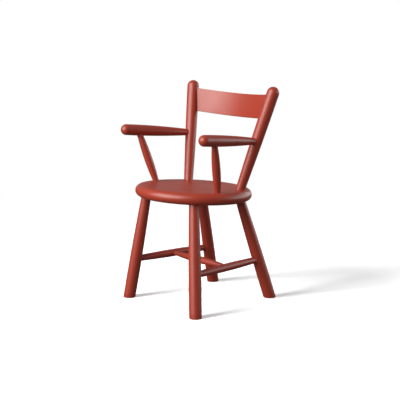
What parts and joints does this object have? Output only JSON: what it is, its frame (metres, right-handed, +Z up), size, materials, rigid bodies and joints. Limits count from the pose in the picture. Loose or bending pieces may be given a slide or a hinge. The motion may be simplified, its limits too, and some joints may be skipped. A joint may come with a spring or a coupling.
{
  "type": "child armchair",
  "caption": "Child-size turned wood armchair with a round seat, splayed legs, leaning back posts, a bowed back rail and rounded arms.",
  "frame": {"origin": "on the floor, midway between the chair's outermost faces", "axes": "+Z up, -Y the way a sitting child faces, +X to the chair's left as the child has it"},
  "size_m": [0.3596, 0.3566, 0.5962],
  "materials": {
    "red_paint": "satin red paint on turned hardwood"
  },
  "bodies": {
    "root": {"seat": "red_paint", "front_left_leg": "red_paint", "front_right_leg": "red_paint", "rear_left_leg": "red_paint", "rear_right_leg": "red_paint", "left_side_stretcher": "red_paint", "right_side_stretcher": "red_paint", "cross_stretcher": "red_paint", "left_back_post": "red_paint", "right_back_post": "red_paint", "back_rail": "red_paint", "left_arm": "red_paint", "right_arm": "red_paint", "left_arm_support": "red_paint", "right_arm_support": "red_paint"}
  },
  "joints": []
}
